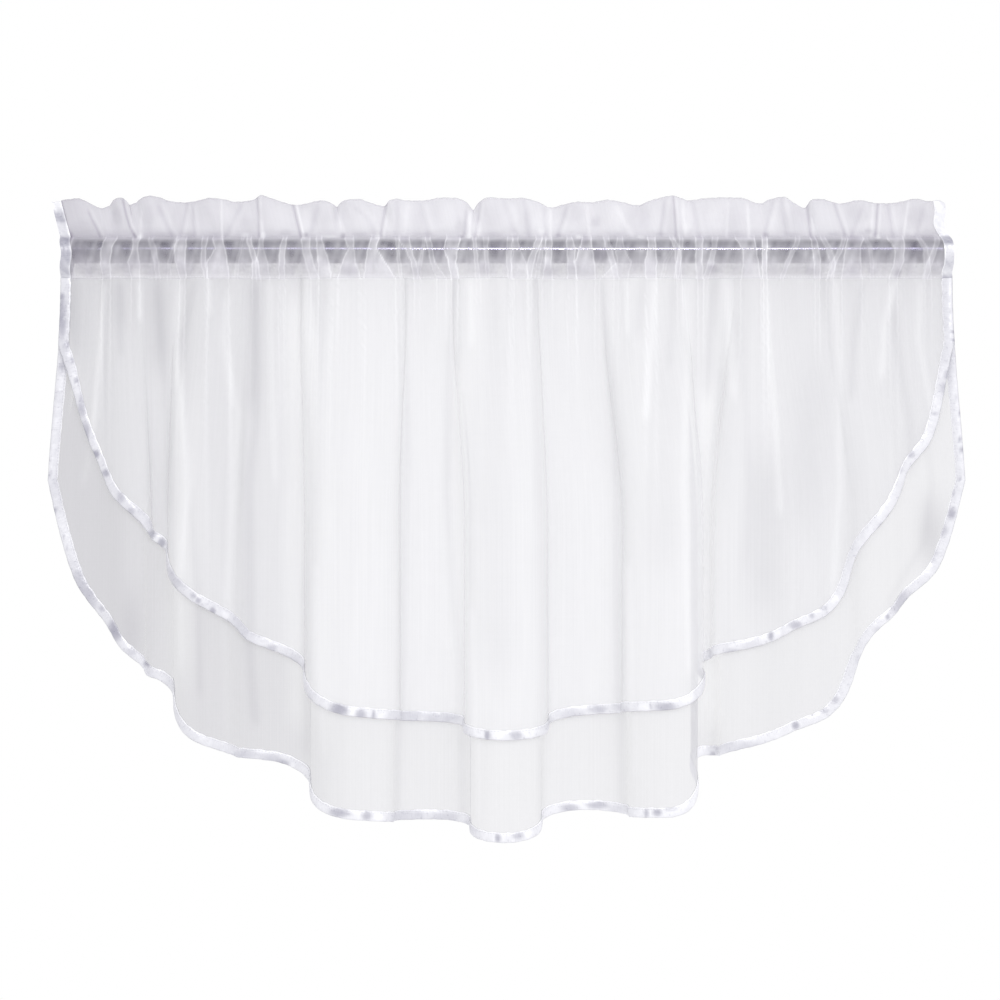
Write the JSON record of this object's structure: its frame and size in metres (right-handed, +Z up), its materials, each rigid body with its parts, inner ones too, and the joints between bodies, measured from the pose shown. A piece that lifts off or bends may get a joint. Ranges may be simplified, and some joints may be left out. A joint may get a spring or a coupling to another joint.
{
  "type": "sheer window valance on a curtain rod",
  "caption": "Layered sheer white window valance with satin ribbon edges and a ruffled rod-pocket heading, gathered on a round satin grey rod.",
  "frame": {"origin": "on the rod's axis, at the middle of its length", "axes": "+X along the rod to the right as seen from the room, -Y to the room, +Z up"},
  "size_m": [0.8731, 0.0529, 0.6092],
  "materials": {
    "voile": "sheer plain weave",
    "voile_back": "sheer plain weave",
    "satin": "satin ribbon",
    "rod": "satin grey"
  },
  "bodies": {
    "root": {"rod": "rod", "heading": "voile", "front_panel": "voile", "back_panel": "voile_back", "front_ribbon": "satin", "back_ribbon": "satin", "heading_ribbon_left": "satin", "heading_ribbon_right": "satin"}
  },
  "joints": []
}
